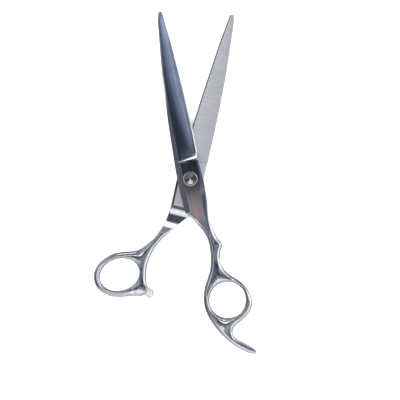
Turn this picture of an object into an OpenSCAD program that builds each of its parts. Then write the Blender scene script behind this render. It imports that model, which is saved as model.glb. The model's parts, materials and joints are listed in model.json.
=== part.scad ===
// Hair cutting shears lying flat: two polished steel halves, an adjustable pivot and a soft stop.
// Each half is drawn in its own blade frame: the pivot on the Z axis, the closed line along +Y,
// the back of the blade on -X, the cutting edge on +X and the inner face just above z = 0.

/* [Pose] */
// Turn of the finger half away from the closed line, degrees
finger_turn = 10; // [6:0.5:14]
// Turn of the thumb half away from the closed line, degrees
thumb_turn = 14; // [10:0.5:18]

/* [Blades] */
// Pivot to blade tip
blade_l = 95; // [93:0.5:97]
// Thickness of each half at the pivot
half_t = 3; // [2.8:0.1:3.4]
// Thickness of the blade at its tip
tip_t = 1.3; // [1:0.1:1.6]
// Gap between the two inner faces
blade_gap = 0.1; // [0.06:0.02:0.2]
// Depth of the hollow ground into the inner face
hollow_d = 0.25; // [0.1:0.05:0.4]
// Width of the flat land left along the cutting edge
ride_w = 1; // [0.6:0.1:1.4]

/* [Handles] */
// Half thickness of the finger rings
ring_h = 2.6; // [2.3:0.1:3]
// Radius of the round finger hole
finger_r = 10.2; // [9.6:0.1:10.6]
// Long half width of the oval thumb hole
thumb_a = 11.3; // [10.6:0.1:11.6]
// Short half width of the oval thumb hole
thumb_b = 8.8; // [8.2:0.1:9.1]
// Plan width of the rounding round both holes
hole_round = 1.2; // [0.8:0.1:1.3]
// Depth of the relief behind each pivot face
relief_d = 0.65; // [0.4:0.05:0.9]

/* [Pivot] */
// Radius of the pivot screw's head
head_r = 4.05; // [3.6:0.05:4.4]
// Height of the head above the blade
head_h = 1.2; // [0.9:0.1:1.6]
// Radius of the screw's turning shoulder
shoulder_r = 2.1; // [1.9:0.05:2.2]
// Radius of the screw's threaded end
thread_r = 1.75; // [1.5:0.05:1.8]
// Radius of the tension nut
nut_r = 4; // [3.6:0.1:4.1]
// Height of the tension nut
nut_h = 1.6; // [1.5:0.1:2]

/* [Stop] */
// Radius of the soft stop
stop_r = 2.6; // [2.2:0.1:2.8]
// Length of the soft stop outside its lug
stop_l = 4.4; // [3.6:0.1:4.5]

/* [Hidden] */
$fn = 64;
fit = 0.02;
run = 0.05;
inner_z = blade_gap / 2;

// Stack on the pivot axis, measured from the plane between the halves
washer_pocket = 0.25;
glide_r = 6;
bush_r = 2.75;
rear_pocket_r = 4.3;
rear_pocket_d = 0.8;
thrust_t = 0.3;
spring_h = 0.45;
nut_top = -(half_t - rear_pocket_d) - thrust_t - spring_h;
plane_z = nut_h - nut_top;
neck_r = 2.6;
neck_flat = 2.1;

// Where the heel of the blade, the weld and the handle's inner step lie along the half
heel_y = 10.4;
cove_l = 2.2;
weld_y = -22;
relief_y = [-17.5, -19.6];
step_y = [-26.8, -29.6];

// Centres of the two holes and the tilt of the oval one
finger_c = [8.74, -70.4];
thumb_c = [25.44, -61.6];
thumb_tilt = -33.4;

// Soft stop: middle of its seat on the lug, and the way it points
stop_seat = [8.45, -67];
stop_dir = 200;
stop_stem = [1.2, 3];

// Back edge from the tip down, as [y, x], shared by both halves as far as the weld
back_rows = [[blade_l, -1.5], [blade_l - 2, -2.2], [blade_l - 7, -2.85], [80, -3.6], [70, -4.55],
    [60, -5.35], [50, -6], [40, -6.5], [30, -6.85], [20, -7.05], [10, -7.25], [0, -7.2], [-6, -7],
    [-12, -6.6], [-16, -6.3], [-18, -6], [-19.3, -5.3], [-20.7, -4.3]];
finger_back = [[-23, -2.4], [-27, 0.2], [-30.8, 2.3], [-34, 3.5], [-37.7, 4], [-41, 4], [-46, 3.5],
    [-51.6, 2.2], [-56.3, 0], [-61.5, -2.7], [-66.9, -4.25], [-70.5, -4.6], [-75.5, -4],
    [-81.5, -1.9], [-87.8, 1.4], [-93.4, 5.5], [-97.8, 9.8], [-101.4, 14.8], [-102.4, 16.9], [-102.8, 18.2]];
thumb_back = [[-23, -2.3], [-27.6, 1.1], [-32.2, 4.5], [-37.2, 7.6], [-42.5, 10], [-48.5, 11.5],
    [-52, 11.8], [-57.6, 11.05], [-61.5, 10.1], [-63.8, 9.1], [-65.2, 7.85], [-69, 9.2], [-69.9, 10.2],
    [-71, 14], [-72.4, 18.3], [-73.6, 22], [-74.3, 25.3], [-74.5, 27]];

// Cutting edge from the tip down, then the front side of each half
edge_rows = [[blade_l, 0.4], [blade_l - 1, 0.75], [blade_l - 5, 1.2], [84, 1.85], [76, 2.7], [67, 3.4],
    [60, 3.95], [52, 4.55], [44, 5.1], [37, 5.5], [30, 5.9], [20, 6.25], [11, 6.5], [6, 6.9], [0, 7.3],
    [-6, 7.25], [-12, 7.1], [-18, 7]];
finger_front = [[-23, 7.1], [-27, 7.45], [-31, 8], [-34, 8.8], [-36.8, 10.1], [-38.6, 11.2], [-39.3, 11.4],
    [-40.2, 11], [-42.6, 9.7], [-44.8, 9], [-47, 8.65], [-49.3, 8.7], [-51.7, 9.15], [-54, 10.3],
    [-56.6, 12.3], [-61.3, 17.4], [-64.3, 19.7], [-67.5, 21.3], [-70.5, 22.2], [-73.3, 22.4], [-76, 21.6],
    [-78.6, 20], [-81, 17.6], [-83.1, 14.4], [-84.6, 11.5], [-86.3, 9.2], [-87.9, 8.5], [-89.6, 8.4],
    [-91.7, 9.1], [-93.3, 10.4], [-95.4, 13.3], [-98.1, 16.8], [-100.1, 19.2], [-101.3, 20.1],
    [-102.1, 20], [-102.8, 19]];
thumb_front = [[-22, 7.3], [-26.2, 7.9], [-30, 8.95], [-33.3, 10.1], [-37, 11.8], [-40.4, 14.1],
    [-43.5, 16.5], [-45.9, 19.1], [-47.6, 23], [-49, 27.3], [-50.3, 30.4], [-52.3, 33.4], [-54.9, 35.9],
    [-57.5, 37.9], [-60.2, 39], [-63, 39.5], [-65.8, 39.3], [-68.7, 38.2], [-71.6, 36], [-73.3, 33],
    [-74.2, 30], [-74.5, 28]];

// Plan width of the bevel or rounding along the back and front sides, as [y, width]
back_round = [[-102, 1.1], [-60, 1.3], [-30, 1.2], [-20, 1], [-14, 1.8], [heel_y, 2.7]];
front_round = [[-102, 1.1], [-60, 1.4], [-41, 1.2], [-39.3, 0.7], [-37, 1.2], [-20, 1.4], [heel_y, 1.7]];
// How full that rounding is: 0 is a flat bevel, 1 is an elliptic arc
round_full = [[-34, 1], [-20, 0.5], [-10, 0.2], [heel_y, 0.1]];
// Height of the rounding on the outer face, then plan width and height on the inner face
outer_drop = [[-60, 1.5], [-30, 1.5], [-10, 1.1], [heel_y, 1.1]];
inner_round = [[-30.5, 1.2], [-27, 0.15], [heel_y, 0.15]];
inner_drop = [[-30.5, 1.4], [-27, 0.15], [heel_y, 0.15]];
// Height of the outer face along each half; both taper towards the far end
finger_outer = [[-102.8, 1.5], [-92, 2], [-84, ring_h], [-34, ring_h + 0.1], [-20, half_t], [heel_y, half_t]];
thumb_outer = [[-74.5, ring_h], [-34, ring_h + 0.1], [-20, half_t], [heel_y, half_t]];
finger_inner = [[-102.8, -1.5], [-92, -2], [-84, -ring_h], [step_y[1], -ring_h], [step_y[0], relief_d],
    [relief_y[1], relief_d], [-18.6, relief_d * 0.8], [-18, relief_d * 0.5], [relief_y[0], inner_z]];
thumb_inner = [[step_y[1], -ring_h], [step_y[0], relief_d], [relief_y[1], relief_d],
    [-18.6, relief_d * 0.8], [-18, relief_d * 0.5], [relief_y[0], inner_z]];

// One table of outlines and heights per half
FINGER = [concat(back_rows, finger_back), concat(edge_rows, finger_front), finger_outer, finger_inner, -102.8];
THUMB = [concat(back_rows, thumb_back), concat(edge_rows, thumb_front), thumb_outer, thumb_inner, -74.5];

// Where sections are taken, from the tip down
blade_y = concat([blade_l + 0.2, blade_l, blade_l - 0.4, blade_l - 1.2, blade_l - 3],
    [for (y = [89 : -5 : 14]) y], [12.6, 11.8, 11.2, 10.8, 10.5, heel_y]);
tail_y = concat([8, 5, 0, -5, -10, -14, -16.5], relief_y[0], [-17.8, -18.2, -18.7], relief_y[1], -20.7, weld_y);
shank_y = concat(weld_y, [-24.5], step_y[0], [-27.4, -28.2, -29], step_y[1], [-30.5, -32.5, -35, -37]);
finger_y = concat(shank_y, [-38.3, -39.2, -39.9, -41], [for (y = [-43 : -2 : -83]) y],
    [for (y = [-84 : -1.2 : -100.8]) y], [-101.6, -102.2, -102.6, -102.8]);
thumb_y = concat(shank_y, [for (y = [-39 : -2 : -63]) y], [-64.2, -65.2, -67, -69, -69.6],
    [for (y = [-70.2 : -0.7 : -73.7]) y], [-74.1, -74.35, -74.5]);

// Smooth curve through the rows of a table
function slope(t, i) = let (a = max(i - 1, 0), b = min(i + 1, len(t) - 1))
    (t[b][1] - t[a][1]) / (t[b][0] - t[a][0]);
function row(t, y) = [for (i = [0 : len(t) - 2]) if (y >= t[i + 1][0] || i == len(t) - 2) i][0];
function along(t, y) = let (
    i = row(t, y),
    h = t[i + 1][0] - t[i][0],
    u = max(0, min(1, (y - t[i][0]) / h)),
    v = 1 - u)
    (1 + 2 * u) * v * v * t[i][1] + u * v * v * h * slope(t, i)
    + u * u * (3 - 2 * u) * t[i + 1][1] - u * u * v * h * slope(t, i + 1);
// The rounding is measured square to the outline, so a slanting side takes a wider cut
function slant(t, y) = let (d = (along(t, y + 0.2) - along(t, y - 0.2)) / 0.4) min(3.5, sqrt(1 + d * d));

// Quarter of a corner from [x0, z0] to [x1, z1]: the way along is x first when turn is 1
corner_n = 4;
function corner(a, b, full, turn) = [for (k = [0 : corner_n]) let (
    s = 90 * k / corner_n,
    p = turn == 1 ? [sin(s), 1 - cos(s)] : [1 - cos(s), sin(s)],
    q = full * p + (1 - full) * [1, 1] * k / corner_n)
    [a[0] + (b[0] - a[0]) * q[0], a[1] + (b[1] - a[1]) * q[1]]];
face_n = 5;
function span(a, b) = [for (k = [1 : face_n]) a + (b - a) * k / (face_n + 1)];

// Section through the tail or handle of a half: inner corner, back, outer face, front, inner corner
function body_section(h, y) = let (
    x0 = along(h[0], y),
    x1 = along(h[1], y),
    most = 0.46 * (x1 - x0),
    wb = min(most, lookup(y, back_round) * slant(h[0], y)),
    wf = min(most, lookup(y, front_round) * slant(h[1], y)),
    ib = min(most, lookup(y, inner_round) * slant(h[0], y)),
    jf = min(most, lookup(y, inner_round) * slant(h[1], y)),
    near_end = min(1, (y - h[4]) / 1.2 + 0.02),
    cap = sqrt(1 - (1 - near_end) * (1 - near_end)),
    top = lookup(y, h[2]) * cap,
    low = lookup(y, h[3]) * (y < step_y[1] ? cap : 1),
    full = lookup(y, round_full),
    drop = lookup(y, outer_drop) * cap,
    rise = lookup(y, inner_drop) * cap)
    concat(
        corner([x0 + ib, low], [x0, low + rise], full, 1),
        corner([x0, top - drop], [x0 + wb, top], full, 0),
        span([x0 + wb, top], [x1 - wf, top]),
        corner([x1 - wf, top], [x1, top - drop], full, 1),
        corner([x1, low + rise], [x1 - jf, low], full, 0),
        span([x1 - jf, low], [x0 + ib, low]));

// Section through the blade: back, back bevel, ridge, convex ground face, cutting edge, hollow inner face
edge_t = 0.12;
function blade_section(h, y) = let (
    x0 = along(h[0], y),
    x1 = along(h[1], y),
    w = x1 - x0,
    far = max(0, (y - heel_y) / (blade_l - heel_y)),
    t = half_t - 0.2 + (tip_t - half_t + 0.2) * far,
    ridge = [x0 + 0.3 * w * (0.66 + 0.34 * far), t],
    edge = [x1, inner_z + edge_t],
    land = min(ride_w, 0.25 * w),
    deep = hollow_d * (1 - 0.5 * far))
    concat(
        corner([x0 + 0.1, inner_z], [x0, inner_z + 0.1], 0, 1),
        corner([x0, t * 0.62], ridge, 0.1, 0),
        [for (k = [1 : face_n]) let (s = k / (face_n + 1))
            ridge + (edge - ridge) * s * 0.96 + [0, 0.9 * (t - edge_t) * s * (1 - s) * 0.55]],
        corner(edge + [-0.04 * w, 0.04 * t + 0.02], edge, 0, 1),
        corner([x1, inner_z + 0.02], [x1 - 0.1, inner_z], 0, 0),
        [for (k = [1 : face_n]) let (s = (k - 1) / (face_n - 1))
            [x1 - land + (x0 + land - x1 + land) * s, inner_z + deep * 4 * s * (1 - s)]]);

// The ground face rises to the pivot part through a cove at the heel
function heel_mix(y) = let (u = max(0, min(1, (y - heel_y) / cove_l))) sqrt(1 - (1 - u) * (1 - u));
function section(h, y) = let (
    m = heel_mix(y),
    a = m < 1 ? body_section(h, y) : undef,
    b = m > 0 ? blade_section(h, y) : undef,
    p = m == 0 ? a : m == 1 ? b : [for (k = [0 : len(a) - 1]) a[k] * (1 - m) + b[k] * m])
    [for (k = [len(p) - 1 : -1 : 0]) [p[k][0], y, p[k][1]]];

// Closed solid through a row of loops that have the same number of points, with a fan at each end
function middle(loop) = [for (p = loop) 1] * loop / len(loop);
module loft(loops) {
    m = len(loops[0]);
    n = len(loops);
    polyhedron(
        points = concat([for (l = loops) for (p = l) p], [middle(loops[0]), middle(loops[n - 1])]),
        faces = concat(
            [for (k = [0 : m - 1]) [n * m, k, (k + 1) % m]],
            [for (j = [0 : n - 2]) for (k = [0 : m - 1])
                [j * m + k, (j + 1) * m + k, j * m + (k + 1) % m]],
            [for (j = [0 : n - 2]) for (k = [0 : m - 1])
                [j * m + (k + 1) % m, (j + 1) * m + k, (j + 1) * m + (k + 1) % m]],
            [for (k = [0 : m - 1]) [n * m + 1, (n - 1) * m + (k + 1) % m, (n - 1) * m + k]]));
}

// Steel of a half between the stations in a list
module steel(h, stations) {
    loft([for (y = stations) section(h, y)]);
}

// Half width of a hole at a height, with its edge rounded over
round_z = 1.2;
hole_profile = concat(
    [[-2 * ring_h, hole_round]],
    [for (s = [90 : -18 : 0]) [-round_z - (ring_h - round_z) * sin(s), hole_round * (1 - cos(s))]],
    [for (s = [0 : 18 : 90]) [round_z + (ring_h - round_z) * sin(s), hole_round * (1 - cos(s))]],
    [[2 * ring_h, hole_round]]);

module finger_hole() {
    translate([finger_c[0], finger_c[1], 0])
        rotate_extrude($fn = 96)
            polygon(concat([[0, -2 * ring_h]], [for (p = hole_profile) [finger_r + p[1], p[0]]],
                [[0, 2 * ring_h]]));
}

oval_n = 48;
module thumb_hole() {
    translate([thumb_c[0], thumb_c[1], 0])
        rotate(thumb_tilt)
            loft([for (p = hole_profile) [for (k = [0 : oval_n - 1]) let (s = 360 * k / oval_n)
                [(thumb_a + p[1]) * cos(s), (thumb_b + p[1]) * sin(s), p[0]]]]);
}

// Puts a half's blade frame in its place: the thumb half is turned over, under the finger half
module finger_place() {
    translate([0, 0, plane_z])
        rotate(finger_turn)
            children();
}
module thumb_place() {
    translate([0, 0, plane_z])
        rotate([0, 180, thumb_turn * -1])
            children();
}

// Round shaft with two flats, so that it can't turn in its hole
module two_flat(r, flat, z0, z1) {
    intersection() {
        translate([0, 0, z0])
            cylinder(r = r, h = z1 - z0);
        translate([-2 * r, -flat, z0 - 1])
            cube([4 * r, 2 * flat, z1 - z0 + 2]);
    }
}

module disc(r, z0, z1) {
    translate([0, 0, z0])
        cylinder(r = r, h = z1 - z0);
}

module finger_blade() {
    color("slategray")
        finger_place()
            difference() {
                steel(FINGER, concat(blade_y, tail_y));
                two_flat(neck_r + fit, neck_flat + fit, -1, half_t + 1);
                disc(glide_r + run, -1, inner_z + washer_pocket);
            }
}

module finger_handle() {
    color("lightslategray")
        finger_place()
            difference() {
                steel(FINGER, finger_y);
                finger_hole();
            }
}

module thumb_blade() {
    color("silver")
        thumb_place()
            difference() {
                steel(THUMB, concat(blade_y, tail_y));
                disc(bush_r, -1, half_t + 1);
                disc(glide_r + run, -1, inner_z + washer_pocket);
                disc(rear_pocket_r, half_t - rear_pocket_d, half_t + 1);
            }
}

module thumb_handle() {
    color("lightsteelblue")
        thumb_place()
            difference() {
                steel(THUMB, thumb_y);
                thumb_hole();
                stop_place()
                    disc(stop_stem[0], -stop_stem[1] - 0.2, 10);
            }
}

// Frame of the soft stop: its axis along +Z, its seat on the lug at z = 0
module stop_place() {
    translate([stop_seat[0], stop_seat[1], 0])
        rotate([0, 90, stop_dir])
            children();
}

stop_edge = 1.1;
module soft_stop() {
    color("whitesmoke")
        thumb_place()
            stop_place()
                rotate_extrude()
                    polygon(concat(
                        [[0, -stop_stem[1]], [stop_stem[0], -stop_stem[1]], [stop_stem[0], 0.1], [stop_r, 0.1]],
                        [for (s = [0 : 15 : 90]) [stop_r - stop_edge * (1 - cos(s)),
                            stop_l - stop_edge * (1 - sin(s))]],
                        [[0, stop_l]]));
}

// Head: bevelled rim, narrow groove and a shallow turned cone
rim_bevel = [0.6, 0.8];
rim_w = 0.25;
groove = [0.3, 0.3];
dish_d = 0.6;
module pivot_screw() {
    rim_r = head_r - rim_bevel[0];
    dish_r = rim_r - rim_w - groove[0];
    color("rosybrown")
        finger_place() {
            translate([0, 0, half_t])
                rotate_extrude()
                    polygon([[0, 0], [head_r, 0], [head_r, head_h - rim_bevel[1]], [rim_r, head_h],
                        [rim_r - rim_w, head_h], [rim_r - rim_w, head_h - groove[1]],
                        [dish_r, head_h - groove[1]], [dish_r, head_h - 0.1], [0, head_h - dish_d]]);
            two_flat(neck_r, neck_flat, inner_z + washer_pocket, half_t);
            disc(shoulder_r, nut_top + fit, inner_z + washer_pocket);
            disc(thread_r, nut_top - 1.05, nut_top + fit);
        }
}

module ring_plate(r0, r1, z0, z1) {
    difference() {
        disc(r1, z0, z1);
        disc(r0, z0 - 1, z1 + 1);
    }
}

module pivot_bush() {
    color("ivory")
        finger_place()
            ring_plate(shoulder_r + run, bush_r - fit, fit - (half_t - rear_pocket_d), -inner_z - washer_pocket);
}

module glide_washer() {
    color("ivory")
        finger_place()
            ring_plate(shoulder_r + 0.2, glide_r, -inner_z - washer_pocket, inner_z + washer_pocket - fit);
}

module thrust_washer() {
    color("gainsboro")
        finger_place()
            ring_plate(shoulder_r + run, nut_r - 0.1, fit - (half_t - rear_pocket_d) - thrust_t,
                fit - (half_t - rear_pocket_d) - fit);
}

// Sprung cone washer between the thrust washer and the nut
spring_t = 0.22;
module spring_washer() {
    r0 = shoulder_r + 0.1;
    r1 = nut_r - 0.4;
    color("darkgray")
        finger_place()
            translate([0, 0, nut_top])
                rotate_extrude()
                    polygon([[r0, 0], [r0 + 0.3, 0], [r1, spring_h - spring_t], [r1, spring_h - fit],
                        [r1 - 0.3, spring_h - fit], [r0, spring_t]]);
}

notch_n = 18;
notch_r = 0.4;
nut_edge = 0.3;
module tension_nut() {
    color("gray")
        difference() {
            rotate_extrude()
                polygon([[0, 0], [nut_r - nut_edge, 0], [nut_r, nut_edge], [nut_r, nut_h], [0, nut_h]]);
            disc(thread_r + run, nut_h - 1.15, nut_h + 1);
            for (k = [0 : notch_n - 1])
                rotate(360 * k / notch_n)
                    translate([nut_r + 0.15, 0, -1])
                        cylinder(r = notch_r, h = nut_h + 2, $fn = 24);
        }
}

finger_blade();
finger_handle();
thumb_blade();
thumb_handle();
soft_stop();
pivot_screw();
pivot_bush();
glide_washer();
thrust_washer();
spring_washer();
tension_nut();
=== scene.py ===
import json
import math

import bmesh
import bpy
from mathutils import Matrix, Vector
from mathutils.kdtree import KDTree


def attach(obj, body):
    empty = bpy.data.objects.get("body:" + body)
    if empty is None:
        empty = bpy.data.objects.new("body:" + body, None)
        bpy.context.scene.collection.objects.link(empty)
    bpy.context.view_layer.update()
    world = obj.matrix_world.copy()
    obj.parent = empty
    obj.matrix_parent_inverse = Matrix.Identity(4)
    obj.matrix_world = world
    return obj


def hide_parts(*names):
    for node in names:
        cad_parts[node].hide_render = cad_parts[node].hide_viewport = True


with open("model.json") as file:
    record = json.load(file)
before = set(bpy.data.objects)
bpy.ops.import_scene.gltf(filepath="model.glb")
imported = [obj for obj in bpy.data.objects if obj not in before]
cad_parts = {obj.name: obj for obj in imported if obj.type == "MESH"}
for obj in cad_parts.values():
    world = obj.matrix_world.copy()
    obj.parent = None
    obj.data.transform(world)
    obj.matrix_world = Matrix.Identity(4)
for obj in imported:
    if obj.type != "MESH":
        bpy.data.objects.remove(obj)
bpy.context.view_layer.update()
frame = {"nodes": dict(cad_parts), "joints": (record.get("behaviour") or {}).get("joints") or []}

# Hair cutting shears: two polished steel halves, the pivot that joins them and a soft stop.
# Each half is modelled in millimetres in its own blade frame: the pivot on Z, the closed line along +Y,
# the back of the blade on -X, the cutting edge on +X and the inner face just above z = 0.
METRE = 1000
MM = 1 / METRE
FINGER_TURN = math.radians(10)
THUMB_TURN = math.radians(14)
PIVOT = next(j for j in frame["joints"] if j["name"] == "blade_pivot")["pos_m"]
FINGER_PLACE = Matrix.Translation(PIVOT) @ Matrix.Rotation(FINGER_TURN, 4, "Z") @ Matrix.Scale(MM, 4)
THUMB_PLACE = (Matrix.Translation(PIVOT) @ Matrix.Rotation(-THUMB_TURN, 4, "Z")
               @ Matrix.Rotation(math.pi, 4, "Y") @ Matrix.Scale(MM, 4))

# Sizes that the two halves share: the blade and its hollow inner face, whose land rides on the other half,
# the scooped relief below the pivot and the land after it, the heel with its cove, the weld, and the step
# down to the ring, with its middle as (y, z)
BLADE_L = 95
HALF_T = 3
INNER_Z = 0.05
HOLLOW_D = 0.4
RIDE_W = 0.65
RELIEF_D = 1.2
RELIEF_SCOOP = 1.5
LAND_RISE = 0.2
HEEL_Y = 10.4
COVE_L = 5
WELD_Y = -22
RELIEF_Y = (-18.2, -21.8)
STEP_Y = (-26.2, -32.9)
STEP_MID = (-29.4, -0.94)
# Tolerances for cutting, for merging and for finding the vertices at the weld, and least length of a span
TINY = 1e-5
CLOSE = 1e-4
ON_WELD = 1e-3
LEAST_SPAN = 1e-6

# Back edge and cutting edge from the tip down, as (y, x), shared as far as the weld
BACK_ROWS = [
    (95, -1.5), (93, -2.2), (88, -2.85), (80, -3.6), (70, -4.55), (60, -5.35), (50, -6), (40, -6.5),
    (30, -6.85), (20, -7.05), (10, -7.25), (0, -7.2), (-6, -7), (-12, -6.6), (-16, -6.3), (-18, -6),
    (-19.3, -5.3), (-20.7, -4.3)]
EDGE_ROWS = [
    (95, 0.4), (94, 0.75), (90, 1.2), (84, 1.85), (76, 2.7), (67, 3.4), (60, 3.95), (52, 4.55), (44, 5.1),
    (37, 5.5), (30, 5.9), (20, 6.25), (11, 6.5), (6, 6.9), (0, 7.3), (-6, 7.25), (-12, 7.1), (-18, 7)]
# The same two sides of each handle, below the weld
FINGER_BACK = [
    (-23, -2.4), (-27, 0.2), (-30.8, 2.3), (-34, 3.5), (-37.7, 4), (-41, 4), (-46, 3.5), (-51.6, 2.2),
    (-56.3, 0), (-61.5, -2.7), (-66.9, -4.25), (-70.5, -4.6), (-75.5, -4), (-81.5, -1.9), (-87.8, 1.4),
    (-93.4, 5.5), (-97.8, 9.8), (-101.4, 14.8), (-102.4, 16.9), (-102.8, 18.2)]
FINGER_FRONT = [
    (-23, 7.1), (-27, 7.45), (-31, 8), (-34, 8.8), (-36.8, 10.1), (-38.6, 11.2), (-39.3, 11.4),
    (-40.2, 11), (-42.6, 9.7), (-44.8, 9), (-47, 8.65), (-49.3, 8.7), (-51.7, 9.15), (-54, 10.3),
    (-56.6, 12.3), (-61.3, 17.4), (-64.3, 19.7), (-67.5, 21.3), (-70.5, 22.2), (-73.3, 22.4), (-76, 21.6),
    (-78.6, 20), (-81, 17.6), (-83.1, 14.4), (-84.6, 11.5), (-86.3, 9.2), (-87.9, 8.5), (-89.6, 8.4),
    (-91.7, 9.1), (-93.3, 10.4), (-95.4, 13.3), (-98.1, 16.8), (-100.1, 19.2), (-101.3, 20.1),
    (-102.1, 20), (-102.8, 19)]
THUMB_BACK = [
    (-23, -2.3), (-27.6, 1.1), (-32.2, 4.5), (-37.2, 7.6), (-42.5, 10), (-48.5, 11.5), (-52, 11.8),
    (-57.6, 11.05), (-61.5, 10.1), (-63.8, 9.1), (-65.2, 7.85), (-69, 9.2), (-69.9, 10.2), (-71, 14),
    (-72.4, 18.3), (-73.6, 22), (-74.3, 25.3), (-74.5, 27)]
THUMB_FRONT = [
    (-22, 7.3), (-26.2, 7.9), (-30, 8.95), (-33.3, 10.1), (-37, 11.8), (-40.4, 14.1), (-43.5, 16.5),
    (-45.9, 19.1), (-47.6, 23), (-49, 27.3), (-50.3, 30.4), (-52.3, 33.4), (-54.9, 35.9), (-57.5, 37.9),
    (-60.2, 39), (-63, 39.5), (-65.8, 39.3), (-68.7, 38.2), (-71.6, 36), (-73.3, 33), (-74.2, 30),
    (-74.5, 28)]

# Plan width of the bevel or rounding along each side, as (y, width) from the tip down
FINGER_BACK_ROUND = [
    (HEEL_Y, 3), (-12, 2.8), (-19, 2.8), (-21, 2.4), (-24, 1.7), (-30, 1.4), (-45, 1.6), (-58, 1.8),
    (-70, 1.55), (-80, 1.6), (-99, 1.4), (-101.5, 1.1), (-102.8, 0.8)]
FINGER_FRONT_ROUND = [
    (HEEL_Y, 1.3), (0, 1.7), (-5, 2), (-10, 2.6), (-18, 2.8), (-26, 2.2), (-34, 2), (-38, 1.4), (-42, 1.8),
    (-55.5, 1.8), (-58.5, 1.4), (-60.5, 1), (-63.5, 0.85), (-66, 1.05), (-68.5, 1.35), (-71, 1.7),
    (-86, 1.7), (-90, 1.3), (-93, 1.5), (-98, 1.6), (-101, 1.1), (-102.8, 0.8)]
THUMB_BACK_ROUND = [
    (HEEL_Y, 3), (-12, 2.8), (-17, 2.4), (-22, 1.4), (-30, 1.5), (-40, 1.5), (-46, 1.9), (-61, 1.8),
    (-63.5, 1), (-67.5, 1), (-69.5, 1.8), (-71.2, 2.8), (-72.4, 2.3), (-73.3, 1.75), (-74.5, 1.65)]
THUMB_FRONT_ROUND = [
    (HEEL_Y, 0.8), (0, 1.1), (-9, 2.4), (-18, 2.4), (-30, 1.5), (-38, 1.5), (-46, 2.1), (-50, 1.75),
    (-70, 1.75), (-73.5, 1.6), (-74.5, 1.65)]
# How full that rounding is: 0 is a flat bevel, 1 is an elliptic arc
ROUND_FULL = [(HEEL_Y, 0.15), (0, 0.15), (-5, 0.08), (-14, 0.08), (-20, 0.35), (-34, 0.5)]
# Steepest fall of the front facet beside the pivot, and how far down the half that holds
FACET_SLOPE = 0.36
FACET_END_Y = -10
# Height of the rounding on the outer face, front and back, and on the inner face, where it also takes only a
# share of the plan width
HANDLE_DROP = [(-30, 1.5), (-88, 1.5), (-94, 0.95), (-102.8, 0.6)]
FRONT_DROP = [(HEEL_Y, 0.85), (-10, 0.9), (-20, 1)] + HANDLE_DROP
BACK_DROP = [(HEEL_Y, 0.85), (-10, 0.9), (-14, 0.85), (-18, 0.45), (-22, 0.45)] + HANDLE_DROP
INNER_SHARE = [(HEEL_Y, 0.1), (-27, 0.12), (-33, 1)]
INNER_DROP = [(HEEL_Y, 0.15), (-27, 0.15), (-33, 1.5), (-88, 1.5), (-102.8, 0.6)]
# Height of the outer face along each half
FINGER_OUTER = [
    (HEEL_Y, 3), (-6, 3), (-16, 2.96), (-22, 2.88), (-28, 2.7), (-34, 2.42), (-40, 2.2), (-84, 2.2),
    (-92, 2.05), (-97, 1.6), (-102.8, 0.9)]
THUMB_OUTER = [(HEEL_Y, 3), (-20, 3), (-28, 2.7), (-34, 2.42), (-40, 2.2), (-74.5, 2.2)]
# Height of the ring part's inner face along each half, below the step
FINGER_RING_LOW = [(-33, -2.4), (-84, -2.4), (-92, -1.9), (-102.8, -1.4)]
THUMB_RING_LOW = [(-33, -2.4), (-74.5, -2.4)]

FINGER = {
    "back": BACK_ROWS + FINGER_BACK, "front": EDGE_ROWS + FINGER_FRONT,
    "back_round": FINGER_BACK_ROUND, "front_round": FINGER_FRONT_ROUND,
    "outer": FINGER_OUTER, "ring_low": FINGER_RING_LOW}
THUMB = {
    "back": BACK_ROWS + THUMB_BACK, "front": EDGE_ROWS + THUMB_FRONT,
    "back_round": THUMB_BACK_ROUND, "front_round": THUMB_FRONT_ROUND,
    "outer": THUMB_OUTER, "ring_low": THUMB_RING_LOW}

# Holes, as centre, half widths and tilt
FINGER_HOLE = {"at": (8.74, -70.4), "half": (10.2, 10.2), "tilt": 0}
THUMB_HOLE = {"at": (25.44, -61.6), "half": (11.3, 8.8), "tilt": math.radians(-33.4)}
HOLE_ROUND = 1.2


def find_row(rows, y):
    """Number of the stretch of a falling table that holds y."""
    for i in range(len(rows) - 1):
        if y >= rows[i + 1][0]:
            return i
    return len(rows) - 2


def between(rows, y):
    """Straight line through the rows of a table, level beyond its ends."""
    i = find_row(rows, y)
    (y0, a), (y1, b) = rows[i], rows[i + 1]
    u = min(1, max(0, (y - y0) / (y1 - y0)))
    return a + (b - a) * u


def slope(rows, i):
    """Slope of the smooth curve at one row."""
    a = rows[max(i - 1, 0)]
    b = rows[min(i + 1, len(rows) - 1)]
    return (b[1] - a[1]) / (b[0] - a[0])


def along(rows, y):
    """Smooth curve through the rows of a table."""
    i = find_row(rows, y)
    h = rows[i + 1][0] - rows[i][0]
    u = min(1, max(0, (y - rows[i][0]) / h))
    v = 1 - u
    return ((1 + 2 * u) * v * v * rows[i][1] + u * v * v * h * slope(rows, i)
            + u * u * (3 - 2 * u) * rows[i + 1][1] - u * u * v * h * slope(rows, i + 1))


# Half step over which an outline's slant is measured, and the most that it may widen a cut
SLANT_STEP = 0.2
SLANT_MOST = 3.5


def slant(rows, y):
    """How much wider a cut square to the outline gets when it is measured along x."""
    d = (along(rows, y + SLANT_STEP) - along(rows, y - SLANT_STEP)) / (2 * SLANT_STEP)
    return min(SLANT_MOST, math.hypot(1, d))


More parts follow.
